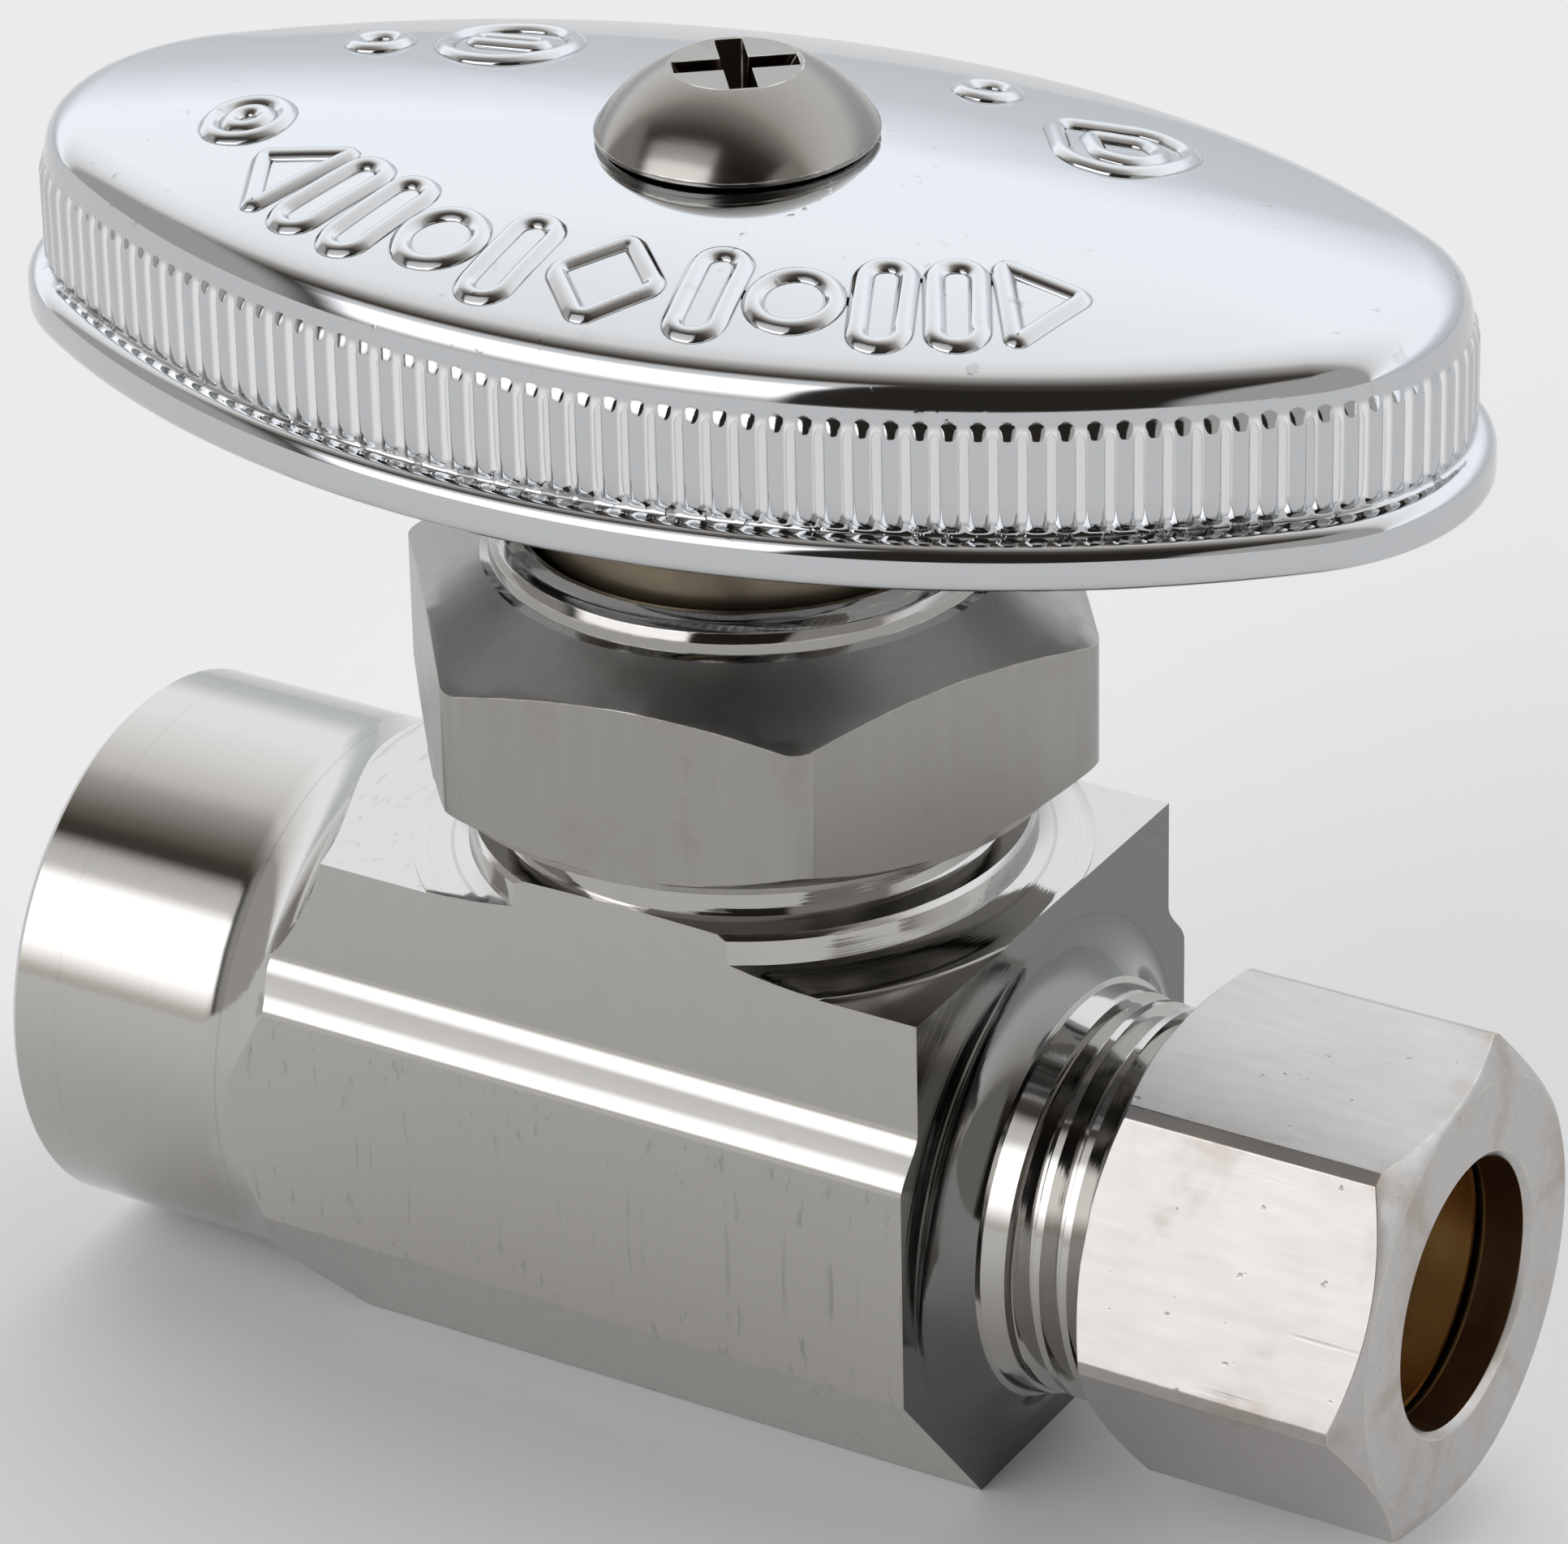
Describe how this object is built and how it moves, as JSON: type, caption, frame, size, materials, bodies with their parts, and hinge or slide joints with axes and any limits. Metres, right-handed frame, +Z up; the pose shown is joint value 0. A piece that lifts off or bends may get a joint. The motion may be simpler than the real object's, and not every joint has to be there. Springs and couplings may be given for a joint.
{
  "type": "straight stop valve",
  "caption": "Straight water shut-off valve with an oval screw-down handle, a round solder socket at the inlet and a hexagon compression nut at the outlet.",
  "frame": {"origin": "centre of the inlet socket's mouth", "axes": "+X along the water way from inlet to outlet, +Z up the stem to the handle"},
  "size_m": [0.0548, 0.0296, 0.0503],
  "materials": {
    "body_chrome": "polished plating over machined flats",
    "bonnet_plate": "satin plating with brushed flats",
    "fibre": "dry fibre",
    "stem_brass": "turned",
    "black_rubber": "smooth",
    "seat_rubber": "matt",
    "screw_brass": "turned",
    "handle_chrome": "mirror plating",
    "screw_nickel": "dull nickel",
    "nut_nickel": "satin, lightly stained",
    "ferrule_brass": "turned"
  },
  "bodies": {
    "body": {"valve_body": "body_chrome", "bonnet_nut": "bonnet_plate", "bonnet_gasket": "fibre"},
    "washer": {"seat_washer": "seat_rubber"},
    "spindle": {"stem": "stem_brass", "stem_oring": "black_rubber", "seat_washer_screw": "screw_brass", "handle": "handle_chrome", "handle_screw": "screw_nickel"},
    "sleeve": {"compression_ferrule": "ferrule_brass"},
    "outlet_nut": {"compression_nut": "nut_nickel"}
  },
  "joints": [
    {"name": "stem_rise", "type": "slide", "parent": "body", "child": "washer", "axis": [0, 0, 1], "range_m": [-0.00423, 0.00035]},
    {"name": "stem_turn", "type": "hinge", "parent": "washer", "child": "spindle", "pos_m": [0.0259, 0, 0], "axis": [0, 0, 1], "range_deg": [-1080, 90]},
    {"name": "sleeve_slide", "type": "slide", "parent": "body", "child": "sleeve", "axis": [1, 0, 0], "range_m": [-0.00095, 0.00423]},
    {"name": "nut_turn", "type": "hinge", "parent": "sleeve", "child": "outlet_nut", "pos_m": [0.0486, 0, 0], "axis": [1, 0, 0], "range_deg": [-324, 1440]}
  ],
  "couplings": [
    {"joint": "stem_rise", "follows": "stem_turn", "m_per_rad": 0.00022459},
    {"joint": "sleeve_slide", "follows": "nut_turn", "m_per_rad": 0.00016844}
  ]
}
